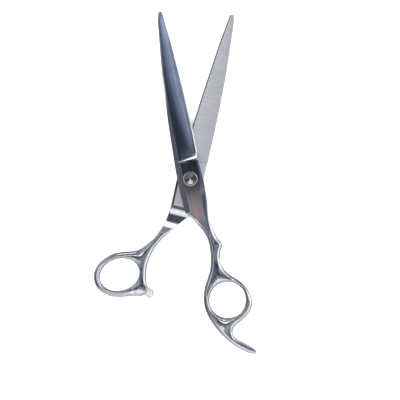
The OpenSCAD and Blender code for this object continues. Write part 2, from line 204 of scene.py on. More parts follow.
def inner_height(half, y):
    """Height of the inner face: flat at the pivot, a scooped relief, then two slopes down to the ring."""
    if y >= RELIEF_Y[0]:
        return INNER_Z
    if y >= RELIEF_Y[1]:
        u = (RELIEF_Y[0] - y) / (RELIEF_Y[0] - RELIEF_Y[1])
        return INNER_Z + (RELIEF_D - INNER_Z) * (1 - (1 - u) ** RELIEF_SCOOP)
    land = RELIEF_D - LAND_RISE * (RELIEF_Y[1] - max(y, STEP_Y[0])) / (RELIEF_Y[1] - STEP_Y[0])
    if y >= STEP_Y[0]:
        return land
    if y >= STEP_MID[0]:
        return land + (STEP_MID[1] - land) * (STEP_Y[0] - y) / (STEP_Y[0] - STEP_MID[0])
    if y >= STEP_Y[1]:
        u = (STEP_MID[0] - y) / (STEP_MID[0] - STEP_Y[1])
        return STEP_MID[1] + (half["ring_low"][0][1] - STEP_MID[1]) * u
    return between(half["ring_low"], y)


# Points on each stretch of a section: inner corner, back, outer face, front, inner corner, inner face
CORNER_N = 4
ROUND_N = 8
FACE_N = 14
INNER_N = 11


def round_share(u, full):
    """Share of a rounding's width and height that is covered at u, from the steep end to the flat end."""
    s = math.pi / 2 * u
    return full * (1 - math.cos(s)) + (1 - full) * u, full * math.sin(s) + (1 - full) * u


def corner(a, b, full, x_first, n):
    """Points of a quarter of a corner from a to b: a flat bevel when full is 0, an arc when it is 1."""
    points = []
    for k in range(n):
        slow, fast = round_share(k / (n - 1), full)
        px, pz = (fast, slow) if x_first else (slow, fast)
        points.append((a[0] + (b[0] - a[0]) * px, a[1] + (b[1] - a[1]) * pz))
    return points


# Crown across the outer face, as (y, height), and the most of a section's width that one rounding may take
CROWN = [(HEEL_Y, 0.04), (-8, 0.04), (-20, 0)]
ROUND_MOST = 0.46


def tail_section(half, y):
    """Section through the part that carries the pivot."""
    x0, x1 = along(half["back"], y), along(half["front"], y)
    most = ROUND_MOST * (x1 - x0)
    share = between(INNER_SHARE, y)
    wb = min(most, between(half["back_round"], y) * slant(half["back"], y))
    wf = min(most, between(half["front_round"], y) * slant(half["front"], y))
    top, low = along(half["outer"], y), inner_height(half, y)
    full, rise, crown = between(ROUND_FULL, y), between(INNER_DROP, y), between(CROWN, y)
    drop, facet = between(BACK_DROP, y), between(FRONT_DROP, y)
    if y > FACET_END_Y:
        facet = min(facet, FACET_SLOPE * wf)
    face = []
    inner = []
    for k in range(FACE_N):
        u = (k + 1) / (FACE_N + 1)
        face.append((x0 + wb + (x1 - wf - x0 - wb) * u, top + crown * 4 * u * (1 - u)))
    for k in range(INNER_N):
        u = (k + 1) / (INNER_N + 1)
        inner.append((x1 - wf * share + (x0 + wb * share - x1 + wf * share) * u, low))
    return (corner((x0 + wb * share, low), (x0, low + rise), full, True, CORNER_N)
            + corner((x0, top - drop), (x0 + wb, top), full, False, ROUND_N) + face
            + corner((x1 - wf, top), (x1, top - facet), full, True, ROUND_N)
            + corner((x1, low + rise), (x1 - wf * share, low), full, False, CORNER_N) + inner)


# Thickness of the edge, and chamfers of the inner face at the edge and at the back
EDGE_T = 0.1
EDGE_CHAMFER = 0.02
INNER_CHAMFER = 0.1
# Most of the blade's width that its riding land may take, and share of the hollow's depth lost at the tip
RIDE_MOST = 0.25
TIP_SHALLOW = 0.5
# Along the blade, as (y, value) from the tip down: height of the ridge, width and drop of the back bevel,
# share of the face that is flat before it curves over, and width of the edge bevel
RIDGE_Z = [
    (BLADE_L, 0.95), (93.6, 1.13), (92, 1.28), (90, 1.38), (80, 1.71), (60, 2.27), (40, 2.68), (20, 2.93),
    (HEEL_Y, HALF_T)]
BEVEL_W = [(BLADE_L, 0.35), (60, 0.7), (30, 1.8), (HEEL_Y, 3)]
BEVEL_DROP = [(BLADE_L, 0.3), (60, 0.4), (30, 0.6), (HEEL_Y, 0.85)]
FLAT_SHARE = [(BLADE_L, 0), (70, 0.05), (44, 0.2), (33, 0.35), (22, 0.5), (HEEL_Y, 0.62)]
EDGE_W = [(BLADE_L, 0.25), (60, 0.4), (HEEL_Y, 0.7)]
# Slope of the face where it is flat and at the edge bevel, slope of that bevel, and reach of the soft ridge
FACE_SLOPE = (0.12, 0.33)
EDGE_SLOPE = 1
RIDGE_SOFT = 0.45
# Points on each side of the soft ridge, and on the edge bevel
SOFT_N = 4
LIP_N = 5
# Extra depth of the face's edge at the heel, where the wheel ran out, and how far up the blade it reaches
HEEL_DIP = 0.6
DIP_L = 14


def blade_section(half, y):
    """Section through the blade: back bevel, soft ridge, face that curves to the edge, hollow inner face."""
    x0, x1 = along(half["back"], y), along(half["front"], y)
    ridge = Vector((x0 + between(BEVEL_W, y), along(RIDGE_Z, y)))
    foot = Vector((x0, ridge.y - between(BEVEL_DROP, y)))
    edge_w = between(EDGE_W, y)
    run = x1 - edge_w - ridge.x
    flat = between(FLAT_SHARE, y)
    land = min(RIDE_W, RIDE_MOST * (x1 - x0))
    dip = HEEL_DIP * max(0, 1 - (y - HEEL_Y) / DIP_L) ** 2

    def ground(s):
        """Point of the ground face at a share of its run."""
        curved = max(0, s - flat) ** 2 / (2 * (1 - flat))
        fall = FACE_SLOPE[0] * s + (FACE_SLOPE[1] - FACE_SLOPE[0]) * curved
        return ridge + Vector((run * s, -run * fall - dip * s))

    back = ridge.lerp(foot, RIDGE_SOFT)
    front = RIDGE_SOFT * (ridge.x - x0) / run
    soft = []
    for k in range(2 * SOFT_N):
        u = k / (2 * SOFT_N)
        soft.append(back * (1 - u) ** 2 + ridge * 2 * u * (1 - u) + ground(front) * u * u)
    bevel = [foot.lerp(back, k / SOFT_N) for k in range(ROUND_N - SOFT_N)] + soft[:SOFT_N]
    rest = FACE_N - SOFT_N
    face = soft[SOFT_N:] + [ground(front + (1 - front) * k / rest) for k in range(rest)]
    lip = ground(1)
    wall = max(INNER_Z + EDGE_T, lip.y - EDGE_SLOPE * edge_w)
    edge = [lip.lerp(Vector((x1, wall)), k / (LIP_N - 1)) for k in range(LIP_N)]
    wall_n = ROUND_N - LIP_N
    edge += [(x1, wall + (INNER_Z + EDGE_T - wall) * (k + 1) / wall_n) for k in range(wall_n)]
    hollow = []
    deep = HOLLOW_D * (1 - TIP_SHALLOW * max(0, y - HEEL_Y) / (BLADE_L - HEEL_Y))
    for k in range(INNER_N):
        u = k / (INNER_N - 1)
        hollow.append((x1 - land + (x0 + land - x1 + land) * u, INNER_Z + deep * 4 * u * (1 - u)))
    return (corner((x0 + INNER_CHAMFER, INNER_Z), (x0, INNER_Z + INNER_CHAMFER), 0, True, CORNER_N)
            + [tuple(p) for p in bevel + face + edge]
            + corner((x1, INNER_Z + EDGE_CHAMFER), (x1 - INNER_CHAMFER, INNER_Z), 0, False, CORNER_N)
            + hollow)


# The cove at the heel falls steeply for a share of its depth, then more gently, and ends softly on the
# ground face; over the roll, the pivot part turns into it
COVE_SLOPE = (1.3, 0.62)
COVE_STEEP = 0.25
COVE_SOFT = 0.15
HEEL_ROLL = 0.35


def cove_left(d, deep):
    """How far the cove still is above the ground face at a distance from the heel."""
    steep = deep - COVE_SLOPE[0] * d
    gentle = deep - COVE_STEEP * deep * (1 - COVE_SLOPE[1] / COVE_SLOPE[0]) - COVE_SLOPE[1] * d
    gap = max(steep, gentle)
    return (gap + math.hypot(gap, COVE_SOFT * min(1, deep))) / 2


def section(half, y):
    """Loop of points round a half: the ground face rises to the pivot part through a cove at the heel."""
    tail = tail_section(half, y)
    if y <= HEEL_Y - HEEL_ROLL:
        return [Vector((x, y, z)) for x, z in tail]
    shift = min(1, (y - HEEL_Y + HEEL_ROLL) / HEEL_ROLL)
    past = max(0, y - HEEL_Y)
    points = []
    for k, ((x, z), (bx, bz)) in enumerate(zip(tail, blade_section(half, y))):
        outer = CORNER_N <= k < CORNER_N + 2 * ROUND_N + FACE_N
        rise = cove_left(past, z - bz) if outer else 0
        points.append(Vector((x + (bx - x) * shift, y, z + (bz + rise - z) * shift)))
    return points


def start_loop(bm, place, points):
    """Closed loop of new edges, with each vertex's number kept on it."""
    verts = [bm.verts.new(p) for p in points]
    for k, v in enumerate(verts):
        v[place] = k
    return [bm.edges.new((verts[k - 1], verts[k])) for k in range(len(verts))]


def grow_loop(bm, place, loop, points):
    """Extrudes a loop of edges and puts the new loop on the given points."""
    new = set(bmesh.ops.extrude_edge_only(bm, edges=loop)["geom"])
    for v in new:
        if isinstance(v, bmesh.types.BMVert):
            v.co = points[v[place]]
    return [e for e in new if isinstance(e, bmesh.types.BMEdge) and all(v in new for v in e.verts)]


# Where the sections are taken: distances from the tip, runs down the half as (first y, step, number), points
# on the cove, which crowd towards the heel, points on the roll, and the least distance from the weld
TIP_ROWS = (-0.1, 0, 0.3, 0.8, 1.6, 3)
RUNS = ((90, 2.5, 30), (9, 1, 3), (6, 1.5, 16), (RELIEF_Y[0], 0.32, 14))
COVE_N = 22
COVE_CROWD = 1.6
ROLL_N = 4
WELD_GAP = 0.2
# Share of the first section's size that the flat end of the tip has
TIP_CAP = 0.5


def stations():
    """Places along y where the sections are taken, from the tip to the weld."""
    rows = [BLADE_L - d for d in TIP_ROWS]
    rows += [first - step * k for first, step, n in RUNS for k in range(n)]
    rows += [HEEL_Y + COVE_L * (k / COVE_N) ** COVE_CROWD for k in range(COVE_N + 1)]
    rows += [HEEL_Y - HEEL_ROLL * (k + 1) / ROLL_N for k in range(ROLL_N)]
    return sorted((y for y in rows if y > WELD_Y + WELD_GAP), reverse=True)


def add_blade(bm, place, half):
    """Blade and pivot part of a half as one sweep of sections, left open at the weld."""
    rows = stations()
    first = section(half, rows[0])
    middle = sum(first, Vector()) / len(first)
    tip = start_loop(bm, place, [middle + (p - middle) * TIP_CAP for p in first])
    bmesh.ops.edgeloop_fill(bm, edges=tip)
    loop = tip
    for y in rows:
        loop = grow_loop(bm, place, loop, section(half, y))
    return loop


def smooth_outline(points, step):
    """Points at about even steps along a smooth curve through a row of points."""
    out = []
    for i in range(len(points) - 1):
        p0, p1 = Vector(points[max(i - 1, 0)]), Vector(points[i])
        p2, p3 = Vector(points[i + 1]), Vector(points[min(i + 2, len(points) - 1)])
        d01, d12, d23 = (max(LEAST_SPAN, (b - a).length) for a, b in ((p0, p1), (p1, p2), (p2, p3)))
        m1 = ((p1 - p0) / d01 * d12 + (p2 - p1) / d12 * d01) / (d01 + d12) * d12
        m2 = ((p2 - p1) / d12 * d23 + (p3 - p2) / d23 * d12) / (d12 + d23) * d12
        n = max(1, round(d12 / step))
        for k in range(n):
            u = k / n
            out.append((1 + 2 * u) * (1 - u) ** 2 * p1 + u * (1 - u) ** 2 * m1
                       + u * u * (3 - 2 * u) * p2 + u * u * (u - 1) * m2)
    out.append(Vector(points[-1]))
    return out


# The handle's plate: where it starts, step along its outline, points round its hole and across a rounding,
# width of the level band beside it, and how close to the lowest point the outline turns from back to front
PLATE_TOP_Y = -18
OUTLINE_STEP = 0.7
HOLE_N = 96
PROFILE_N = 8
FLAT_BAND = 0.08
END_BAND = 0.1
# How much of its two neighbours' places a point takes on as a line moves inwards
EASE = 0.15
# Levels of the plate before it gets its heights: the wall lies within half a unit, a rounding beyond it
WALL = 0.5


def plate_outline(half):
    """Outline of a handle from its back round the end to its front, and the rounding's width along it."""
    back = [(x, y) for y, x in half["back"] if y <= PLATE_TOP_Y]
    front = [(x, y) for y, x in half["front"] if y <= PLATE_TOP_Y]
    line = smooth_outline(back + front[::-1], OUTLINE_STEP)
    turn = half["back"][-1][0]
    widths = []
    side = half["back_round"]
    for p in line:
        widths.append(between(side, p.y))
        if p.y <= turn + END_BAND:
            side = half["front_round"]
    return line, widths


def walk_in(line, steps):
    """Moves each point of a closed line inwards by its own step, easing tight corners."""
    n = len(line)
    moved = []
    for k in range(n):
        t = line[(k + 1) % n] - line[k - 1]
        normal = Vector((-t.y, t.x)).normalized()
        moved.append(line[k] + normal * steps[k])
    return [moved[k] * (1 - 2 * EASE) + (moved[k - 1] + moved[(k + 1) % n]) * EASE for k in range(n)]


def hole_line(hole, grow):
    """Oval or round line round a hole, made wider by grow."""
    turn = Matrix.Rotation(hole["tilt"], 2)
    at = Vector(hole["at"])
    points = []
    for k in range(HOLE_N):
        s = -2 * math.pi * k / HOLE_N
        points.append(at + turn @ Vector(((hole["half"][0] + grow) * math.cos(s),
                                          (hole["half"][1] + grow) * math.sin(s))))
    return points


def outline_levels(half, sign):
    """Lines of the outline's rounding on one face, from the wall to the flat."""
    line, widths = plate_outline(half)
    if sign < 0:
        widths = [w * between(INNER_SHARE, p.y) for p, w in zip(line, widths)]
    fulls = [between(ROUND_FULL, p.y) for p in line]
    rows = [line]
    for k in range(PROFILE_N):
        steps = []
        for w, full in zip(widths, fulls):
            last, now = round_share(k / PROFILE_N, full)[0], round_share((k + 1) / PROFILE_N, full)[0]
            steps.append(w * (now - last))
        rows.append(walk_in(rows[-1], steps))
    rows.append(walk_in(rows[-1], [FLAT_BAND] * len(line)))
    return rows


def hole_levels(hole):
    """Lines of a hole's rounding, from the wall to the flat."""
    full = ROUND_FULL[-1][1]
    rows = [hole_line(hole, HOLE_ROUND * round_share(k / PROFILE_N, full)[0]) for k in range(PROFILE_N + 1)]
    rows.append(hole_line(hole, HOLE_ROUND + FLAT_BAND))
    return rows


def plate_height(half, p):
    """Real height of a point of the plate, from its level."""
    y, level = p.y, p.z
    top, low = along(half["outer"], y), inner_height(half, y)
    on_back = 2 * p.x < along(half["back"], y) + along(half["front"], y)
    drop, rise = between(BACK_DROP if on_back else FRONT_DROP, y), between(INNER_DROP, y)
    upper, lower = top - drop, low + rise
    up = round_share(max(0, abs(level) - WALL) / (1 - WALL), between(ROUND_FULL, y))[1]
    if level > WALL:
        return upper + drop * up
    if level < -WALL:
        return lower - rise * up
    return lower + (upper - lower) * (level + WALL) / (2 * WALL)


# The flats swell by this much over this distance from their rims, by (y, share) on the outer face, 1, and on
# the inner face, -1. The swell at a point is the mean of a few at a reach round it, which softens the ridge
# where two sides meet
PILLOW_H = 0.58
PILLOW_W = 3.5
PILLOW_FADE = {1: [(-28, 0), (-40, 1), (-84, 1), (-89, 0.3)], -1: [(-33, 0), (-42, 1)]}
PILLOW_SOFT = 1.2
PILLOW_N = 12
# Points on each span of a rim
RIM_FINE = 8
# Size of the flats' triangles, rounds of splitting and smoothing, cuts across the step as (spacing, number),
# and places of the cuts along the shank
GRID_STEP = 1
REFINE_N = 6
SMOOTH_N = 3
STEP_CUTS = (0.4, 28)
SHANK_CUTS = range(-8, 14)


def rim_tree(lines):
    """Search tree of close points on the lines where the flat of the plate begins."""
    points = []
    for line in lines:
        for a, b in zip(line, line[1:] + line[:1]):
            points += [a.lerp(b, k / RIM_FINE).to_3d() for k in range(RIM_FINE)]
    tree = KDTree(len(points))
    for k, p in enumerate(points):
        tree.insert(p, k)
    tree.balance()
    return tree


def pillow(tree, p, sign):
    """How far the flat has swollen at a point."""
    here = Vector((p.x, p.y, 0))
    reach = min(PILLOW_SOFT, tree.find(here)[2])
    swell = 0
    for k in range(PILLOW_N):
        s = 2 * math.pi * k / PILLOW_N
        gap = tree.find(here + Vector((reach * math.cos(s), reach * math.sin(s), 0)))[2]
        swell += 1 - (1 - min(1, gap / PILLOW_W)) ** 2
    return sign * PILLOW_H * between(PILLOW_FADE[sign], p.y) * swell / PILLOW_N


def is_flat(v):
    """Whether a vertex of the plate lies on one of its flats, before it gets its height."""
    return abs(v.co.z) > 1 - TINY


def below_step(g):
    """Whether an edge or face lies wholly on a flat below the step."""
    return all(is_flat(v) and v.co.y < STEP_Y[1] + CLOSE for v in g.verts)


def is_inner(e):
    """Whether both faces of an edge lie on a flat below the step."""
    return len(e.link_faces) == 2 and all(below_step(f) for f in e.link_faces)


def refine_flats(bm):
    """Splits the flats into even triangles, so that their swell shades smoothly."""
    for _ in range(REFINE_N):
        split = [e for e in bm.edges if is_inner(e) and e.calc_length() > GRID_STEP]
        bmesh.ops.subdivide_edges(bm, edges=split, cuts=1)
        bmesh.ops.triangulate(bm, faces=[f for f in bm.faces if below_step(f)])
        bmesh.ops.beautify_fill(bm, faces=[f for f in bm.faces if below_step(f)],
                                edges=[e for e in bm.edges if is_inner(e)])
        loose = [v for v in bm.verts if is_flat(v) and all(below_step(f) for f in v.link_faces)]
        for _ in range(SMOOTH_N):
            bmesh.ops.smooth_vert(bm, verts=loose, factor=0.5, use_axis_x=True, use_axis_y=True)


def add_plate(bm, place, half, hole):
    """Handle of a half: outline and hole rounded over on both faces, left open at the weld."""
    rims = {1: [], -1: []}
    sides = [{sign: outline_levels(half, sign) for sign in rims},
             {sign: hole_levels(hole) for sign in rims}]
    for rows in sides:
        base = start_loop(bm, place, [p.to_3d() + Vector((0, 0, WALL)) for p in rows[1][0]])
        below = grow_loop(bm, place, base, [p.to_3d() - Vector((0, 0, WALL)) for p in rows[-1][0]])
        for sign, loop in ((1, base), (-1, below)):
            for k in range(1, PROFILE_N + 2):
                z = sign * (WALL + (1 - WALL) * min(1, k / PROFILE_N))
                loop = grow_loop(bm, place, loop, [p.to_3d() + Vector((0, 0, z)) for p in rows[sign][k]])
            rims[sign] += loop
    for sign in (1, -1):
        bmesh.ops.triangle_fill(bm, use_beauty=True, use_dissolve=False, edges=rims[sign])
    rim = {sign: rim_tree([rows[sign][-1] for rows in sides]) for sign in rims}
    for y in [WELD_Y - STEP_CUTS[0] * k for k in range(STEP_CUTS[1])] + [STEP_Y[1]]:
        geom = bm.verts[:] + bm.edges[:] + bm.faces[:]
        bmesh.ops.bisect_plane(bm, geom=geom, dist=TINY, plane_co=(0, y, 0), plane_no=(0, 1, 0),
                               clear_outer=y == WELD_Y)
    upper = [v for v in bm.verts if is_flat(v)]
    for g in bm.edges[:] + bm.faces[:]:
        if all(is_flat(v) for v in g.verts) and not below_step(g):
            upper.append(g)
    for k in SHANK_CUTS:
        upper = bmesh.ops.bisect_plane(bm, geom=upper, dist=TINY, plane_co=(GRID_STEP * k, 0, 0),
                                       plane_no=(1, 0, 0))["geom"]
    refine_flats(bm)
    for v in bm.verts:
        sign = 1 if v.co.z > 0 else -1
        swell = pillow(rim[sign], v.co, sign) if is_flat(v) else 0
        v.co.z = plate_height(half, v.co) + swell
    return [e for e in bm.edges if e.is_boundary and all(abs(v.co.y - WELD_Y) < ON_WELD for v in e.verts)]


def half_mesh(half, hole):
    """One half as a closed mesh in its blade frame."""
    bm = bmesh.new()
    place = bm.verts.layers.int.new("place")
    plate_end = add_plate(bm, place, half, hole)
    blade_end = add_blade(bm, place, half)
    bmesh.ops.bridge_loops(bm, edges=plate_end + blade_end)
    bmesh.ops.remove_doubles(bm, verts=bm.verts, dist=CLOSE)
    bmesh.ops.recalc_face_normals(bm, faces=bm.faces)
    if bm.calc_volume(signed=True) < 0:
        bmesh.ops.reverse_faces(bm, faces=bm.faces)
    return bm


# The ground finish covers the faces that look down, below a height and above an end
GROUND_FACING = -0.9
GROUND_TOP = 0.6
GROUND_END_Y = -17.2
# Width of the polished land beside it at the front and at the back, as (y, width)
LAND_W = [(15, 0.45), (8, 1.2), (-16, 1.5)]
BACK_LAND_W = [(-2, 0), (-6, 1.4)]


def mark_ground(bm, half):
    """Gives the inner face of the blade, between its polished lands, the second finish."""
    for f in bm.faces:
        c = f.calc_center_median()
        inside = f.normal.z < GROUND_FACING and c.z < GROUND_TOP and c.y > GROUND_END_Y
        least = along(half["back"], c.y) + between(BACK_LAND_W, c.y)
        most = along(half["front"], c.y) - between(LAND_W, c.y)
        f.material_index = int(inside and least < c.x < most)


# Angle from which an edge stays sharp, sides of a round cutter and how far it runs past a face, and sides of
# a turned shape
SHARP_DEG = 24
DRILL_N = 64
PAST = 1
SPIN_N = 96


def finish_object(name, bm, place, materials, sharp=SHARP_DEG):
    """Object at the origin from a bmesh, put in its place and shaded smooth up to sharp edges."""
    bm.transform(place)
    mesh = bpy.data.meshes.new(name)
    bm.to_mesh(mesh)
    bm.free()
    for material in materials:
        mesh.materials.append(material)
    mesh.shade_smooth()
    mesh.set_sharp_from_angle(angle=math.radians(sharp))
    obj = bpy.data.objects.new(name, mesh)
    bpy.context.scene.collection.objects.link(obj)
    return obj


def cut_with(obj, cutters):
    """Takes the cutters out of an object, keeps the cut edges sharp and deletes the cutters."""
    for cutter in cutters:
        mod = obj.modifiers.new("cut", "BOOLEAN")
        mod.operation = "DIFFERENCE"
        mod.solver = "EXACT"
        mod.object = cutter
    bpy.context.view_layer.update()
    graph = bpy.context.evaluated_depsgraph_get()
    mesh = bpy.data.meshes.new_from_object(obj.evaluated_get(graph))
    obj.modifiers.clear()
    mesh.set_sharp_from_angle(angle=math.radians(SHARP_DEG))
    old = obj.data
    obj.data = mesh
    bpy.data.meshes.remove(old)
    for cutter in cutters:
        data = cutter.data
        bpy.data.objects.remove(cutter)
        bpy.data.meshes.remove(data)


def drill(place, r, z0, z1, flat=None):
    """Round cutter on the pivot axis, with two flats where flat is given."""
    bm = bmesh.new()
    bmesh.ops.create_cone(bm, cap_ends=True, segments=DRILL_N, radius1=r, radius2=r, depth=z1 - z0,
                          matrix=Matrix.Translation((0, 0, (z0 + z1) / 2)))
    if flat:
        for sign in (1, -1):
            geom = bm.verts[:] + bm.edges[:] + bm.faces[:]
            cut = bmesh.ops.bisect_plane(bm, geom=geom, plane_co=(0, sign * flat, 0), plane_no=(0, sign, 0),
                                         clear_outer=True)["geom_cut"]
            bmesh.ops.edgeloop_fill(bm, edges=[e for e in cut if isinstance(e, bmesh.types.BMEdge)])
    bmesh.ops.recalc_face_normals(bm, faces=bm.faces)
    return finish_object("cutter", bm, place, [])


def spin_profile(profile, steps=SPIN_N):
    """Closed turned shape from (r, z) points that start and end on the axis."""
    bm = bmesh.new()
    verts = [bm.verts.new((r, 0, z)) for r, z in profile]
    edges = [bm.edges.new((verts[k], verts[k + 1])) for k in range(len(verts) - 1)]
    bmesh.ops.spin(bm, geom=verts + edges, cent=(0, 0, 0), axis=(0, 0, 1), angle=2 * math.pi, steps=steps,
                   use_merge=True)
    bmesh.ops.remove_doubles(bm, verts=bm.verts, dist=CLOSE)
    bmesh.ops.recalc_face_normals(bm, faces=bm.faces)
    return bm


# Steps of a rounding, and the most of a side of a profile that it may take
ARC_N = 4
SIDE_MOST = 0.45


def rounded(points, radius, steps=ARC_N):
    """Profile with each inner point rounded over by arcs of about that radius."""
    out = [points[0]]
    for a, b, c in zip(points, points[1:], points[2:]):
        a, b, c = Vector(a), Vector(b), Vector(c)
        r = min(radius, SIDE_MOST * (a - b).length, SIDE_MOST * (c - b).length)
        p, q = b + (a - b).normalized() * r, b + (c - b).normalized() * r
        for k in range(steps + 1):
            u = k / steps
            out.append(tuple(p * (1 - u) ** 2 + b * 2 * u * (1 - u) + q * u * u))
    out.append(points[-1])
    return out


# Materials

def linear(hex_colour):
    """sRGB hex value as a linear colour with full alpha."""
    out = []
    for k in (1, 3, 5):
        c = int(hex_colour[k:k + 2], 16) / 255
        out.append(c / 12.92 if c <= 0.04045 else ((c + 0.055) / 1.055) ** 2.4)
    return (*out, 1)


def add(tree, kind, inputs=None, **settings):
    """Adds a node; an input is a value, a socket, or a node whose first live output feeds it."""
    node = tree.nodes.new("ShaderNode" + kind)
    for name, value in settings.items():
        setattr(node, name, value)
    for key, value in (inputs or {}).items():
        if isinstance(value, bpy.types.Node):
            value = next(socket for socket in value.outputs if socket.enabled)
        if isinstance(value, bpy.types.NodeSocket):
            tree.links.new(value, node.inputs[key])
        else:
            node.inputs[key].default_value = value
    return node


def new_material(name):
    """Empty node material, its tree and its Object coordinates."""
    material = bpy.data.materials.new(name)
    material.use_nodes = True
    tree = material.node_tree
    tree.nodes.clear()
    return material, tree, add(tree, "TexCoord").outputs["Object"]


def set_ramp(node, stops):
    """Sets a colour ramp's stops from (position, colour) pairs."""
    ramp = node.color_ramp
    while len(ramp.elements) < len(stops):
        ramp.elements.new(1)
    for element, (position, colour) in zip(ramp.elements, stops):
        element.position = position
        element.color = colour


def mirror_polished_steel(name, turn):
    """Buffed stainless steel: a sharp mirror, streaked along the half and hazed by fine wipe marks."""
    material, tree, place = new_material(name)
    turned = add(tree, "Mapping", {"Vector": place, "Rotation": (0, 0, turn)})
    streak_mm, streak_l_mm, haze_mm = 1.6, 40, 3
    stretched = add(tree, "Mapping", {
        "Vector": turned, "Scale": (METRE / streak_mm, METRE / streak_l_mm, METRE / streak_mm)})
    streak = add(tree, "TexNoise", {"Vector": stretched, "Scale": 1, "Detail": 2})
    haze = add(tree, "TexNoise", {"Vector": place, "Scale": METRE / haze_mm, "Detail": 4})
    rough = add(tree, "MapRange", {"Value": haze, "To Min": 0.04, "To Max": 0.09})
    tone = add(tree, "ValToRGB", {"Fac": streak})
    set_ramp(tone, [(0.3, linear("#ced0d3")), (0.7, linear("#e2e4e7"))])
    bump = add(tree, "Bump", {"Height": streak, "Strength": 0.1, "Distance": 0.1 * MM})
    steel = add(tree, "BsdfPrincipled", {
        "Base Color": tone, "Metallic": 1, "Roughness": rough, "Normal": bump})
    add(tree, "OutputMaterial", {"Surface": steel})
    return material


def cross_ground_steel():
    """Stainless steel ground across the blade: satin, with fine lines square to the blade's length."""
    material, tree, place = new_material("cross_ground_stainless_steel")
    turned = add(tree, "Mapping", {"Vector": place, "Rotation": (0, 0, THUMB_TURN)})
    # Real grinding lines are about 0.1 mm apart: drawn at 0.6 mm so that they show
    line_mm, reach_mm = 0.6, 14
    lines = add(tree, "Mapping", {
        "Vector": turned, "Scale": (METRE / reach_mm, METRE / line_mm, METRE / reach_mm)})
    grain = add(tree, "TexNoise", {"Vector": lines, "Scale": 1, "Detail": 3, "Roughness": 0.6})
    tone = add(tree, "ValToRGB", {"Fac": grain})
    set_ramp(tone, [(0.3, linear("#d9d9dd")), (0.7, linear("#ebeaee"))])
    rough = add(tree, "MapRange", {"Value": grain, "To Min": 0.6, "To Max": 0.74})
    bump = add(tree, "Bump", {"Height": grain, "Strength": 0.25, "Distance": 0.1 * MM})
    steel = add(tree, "BsdfPrincipled", {
        "Base Color": tone, "Metallic": 0.97, "Roughness": rough, "Normal": bump})
    add(tree, "OutputMaterial", {"Surface": steel})
    return material


def turned_steel():
    """Steel turned on a lathe: fine rings round the axis that drag each highlight into a wedge."""
    material, tree, place = new_material("turned_stainless_steel")
    flat = add(tree, "VectorMath", {0: place, 1: (1, 1, 0)}, operation="MULTIPLY")
    radius = add(tree, "VectorMath", {0: flat}, operation="LENGTH")
    # Turning marks are about 0.05 mm apart: drawn at 0.35 mm so that they show
    ring_mm = 0.35
    rings = add(tree, "Math", {0: radius, 1: 2 * math.pi * METRE / ring_mm}, operation="MULTIPLY")
    marks = add(tree, "Math", {0: rings}, operation="SINE")
    rough = add(tree, "MapRange", {"Value": marks, "From Min": -1, "To Min": 0.08, "To Max": 0.12})
    bump = add(tree, "Bump", {"Height": marks, "Strength": 0.05, "Distance": 0.03 * MM})
    steel = add(tree, "BsdfPrincipled", {
        "Base Color": linear("#b3aaa4"), "Metallic": 1, "Roughness": rough, "Normal": bump})
    add(tree, "OutputMaterial", {"Surface": steel})
    return material


def rolled_spring_steel():
    """Rolled and tempered spring steel: satin grey, slightly uneven."""
    material, tree, place = new_material("rolled_spring_steel")
    mottle_mm = 0.8
    mottle = add(tree, "TexNoise", {"Vector": place, "Scale": METRE / mottle_mm, "Detail": 3})
    rough = add(tree, "MapRange", {"Value": mottle, "To Min": 0.28, "To Max": 0.42})
    steel = add(tree, "BsdfPrincipled", {"Base Color": linear("#b4b5b9"), "Metallic": 1, "Roughness": rough})
    add(tree, "OutputMaterial", {"Surface": steel})
    return material


def moulded_nylon():
    """Natural nylon, moulded: creamy, soft gloss and a little light passing into it."""
    material, tree, place = new_material("moulded_nylon")
    cloud_mm = 1.5
    cloud = add(tree, "TexNoise", {"Vector": place, "Scale": METRE / cloud_mm, "Detail": 2})
    tone = add(tree, "ValToRGB", {"Fac": cloud})
    set_ramp(tone, [(0.3, linear("#e2ddcf")), (0.7, linear("#efebe0"))])
    nylon = add(tree, "BsdfPrincipled", {
        "Base Color": tone, "Roughness": 0.45, "IOR": 1.53, "Subsurface Weight": 0.2,
        "Subsurface Radius": (MM, 0.8 * MM, 0.6 * MM)})
    add(tree, "OutputMaterial", {"Surface": nylon})
    return material


def moulded_silicone():
    """Clear silicone rubber, moulded: cloudy inside, dull skin, lets light through."""
    material, tree, place = new_material("moulded_clear_silicone")
    cloud_mm = 1.2
    cloud = add(tree, "TexNoise", {"Vector": place, "Scale": METRE / cloud_mm, "Detail": 3})
    tone = add(tree, "ValToRGB", {"Fac": cloud})
    set_ramp(tone, [(0.35, linear("#9a9ba1")), (0.65, linear("#d2d3d7"))])
    rough = add(tree, "MapRange", {"Value": cloud, "To Min": 0.2, "To Max": 0.4})
    bump = add(tree, "Bump", {"Height": cloud, "Strength": 0.2, "Distance": 0.2 * MM})
    silicone = add(tree, "BsdfPrincipled", {
        "Base Color": tone, "Roughness": rough, "IOR": 1.41, "Transmission Weight": 0.75,
        "Subsurface Weight": 0.2, "Subsurface Radius": (2 * MM, 2 * MM, 2 * MM), "Normal": bump})
    add(tree, "OutputMaterial", {"Surface": silicone})
    return material


FINGER_POLISH = mirror_polished_steel("mirror_polished_steel_finger_half", -FINGER_TURN)
THUMB_POLISH = mirror_polished_steel("mirror_polished_steel_thumb_half", THUMB_TURN)
GROUND = cross_ground_steel()
TURNED = turned_steel()
SPRING = rolled_spring_steel()
NYLON = moulded_nylon()
SILICONE = moulded_silicone()

# The two steel halves: washer pocket on both inner faces, hole for the screw's neck as radius and half width
# across its flats, bore for the bush, and pocket at the back as radius and depth
GLIDE_R = 6.05
POCKET_D = 0.25
NECK = (2.62, 2.12)
BUSH_R = 2.75
REAR_POCKET = (4.3, 0.8)


